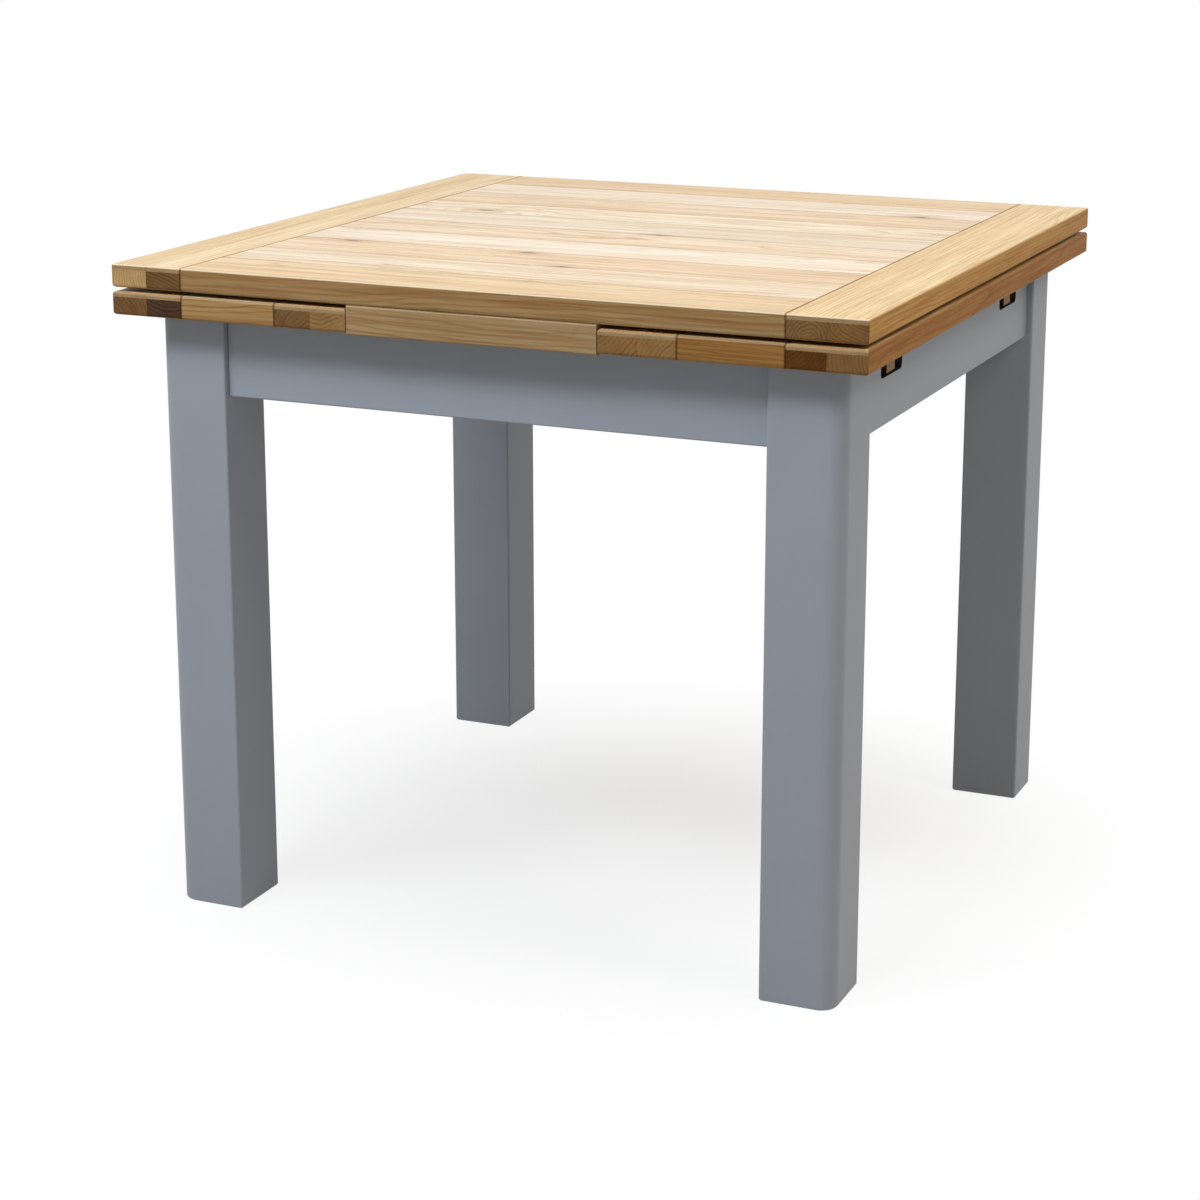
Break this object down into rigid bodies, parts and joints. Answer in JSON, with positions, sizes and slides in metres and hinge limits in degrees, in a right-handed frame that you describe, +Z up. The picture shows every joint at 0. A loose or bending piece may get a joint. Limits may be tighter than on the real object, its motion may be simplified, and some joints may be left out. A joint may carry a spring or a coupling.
{
  "type": "draw-leaf table",
  "caption": "Square dining table on painted post legs, with a loose oak top and leaves that draw out sideways on bearers from under it to lengthen the table.",
  "frame": {"origin": "on the floor, under the middle of the closed table", "axes": "+Z up, -Y the front, +X the way the right leaf is drawn"},
  "size_m": [0.9, 0.9, 0.775],
  "materials": {
    "oak_planks": "satin lacquered oak",
    "oak_end_boards": "satin lacquered oak",
    "hardwood": "plain sanded hardwood",
    "paint": "satin blue-grey paint on wood",
    "zinc_steel": "bright zinc"
  },
  "bodies": {
    "frame": {"apron_front": "paint", "apron_left": "paint", "apron_rear": "paint", "apron_right": "paint", "bearer_guide_front": "hardwood", "bearer_guide_rear": "hardwood", "bolt_nuts": "zinc_steel", "bolt_washers": "zinc_steel", "centre_board": "oak_planks", "centre_cleat_front": "hardwood", "centre_cleat_rear": "hardwood", "cleat_screws": "zinc_steel", "corner_block_front_left": "hardwood", "corner_block_front_right": "hardwood", "corner_block_rear_left": "hardwood", "corner_block_rear_right": "hardwood", "corner_block_screws": "zinc_steel", "guide_screws": "zinc_steel", "hanger_bolts": "zinc_steel", "leg_front_left": "paint", "leg_front_right": "paint", "leg_rear_left": "paint", "leg_rear_right": "paint"},
    "right_leaf": {"right_leaf_bearer_front": "hardwood", "right_leaf_bearer_rear": "hardwood", "right_leaf_inner_strip_1": "oak_end_boards", "right_leaf_inner_strip_2": "oak_end_boards", "right_leaf_outer_strip_1": "oak_end_boards", "right_leaf_outer_strip_2": "oak_end_boards", "right_leaf_planks": "oak_planks", "right_leaf_screws": "zinc_steel", "right_leaf_stops": "hardwood"},
    "left_leaf": {"left_leaf_bearer_front": "hardwood", "left_leaf_bearer_rear": "hardwood", "left_leaf_inner_strip_1": "oak_end_boards", "left_leaf_inner_strip_2": "oak_end_boards", "left_leaf_outer_strip_1": "oak_end_boards", "left_leaf_outer_strip_2": "oak_end_boards", "left_leaf_planks": "oak_planks", "left_leaf_screws": "zinc_steel", "left_leaf_stops": "hardwood"},
    "top": {"locating_pegs": "hardwood", "top_end_left_inner": "oak_end_boards", "top_end_left_outer": "oak_end_boards", "top_end_right_inner": "oak_end_boards", "top_end_right_outer": "oak_end_boards", "top_plank_01": "oak_planks", "top_plank_02": "oak_planks", "top_plank_03": "oak_planks", "top_plank_04": "oak_planks", "top_plank_05": "oak_planks", "top_plank_06": "oak_planks", "top_plank_07": "oak_planks", "top_plank_08": "oak_planks", "top_plank_09": "oak_planks", "top_plank_10": "oak_planks"}
  },
  "joints": [
    {"name": "right_leaf_draw", "type": "slide", "parent": "frame", "child": "right_leaf", "axis": [1, 0, 0], "range_m": [0, 0.3]},
    {"name": "left_leaf_draw", "type": "slide", "parent": "frame", "child": "left_leaf", "axis": [-1, 0, 0], "range_m": [0, 0.3]},
    {"name": "top_lift", "type": "slide", "parent": "frame", "child": "top", "axis": [0, 0, 1], "range_m": [0, 0.045]}
  ]
}
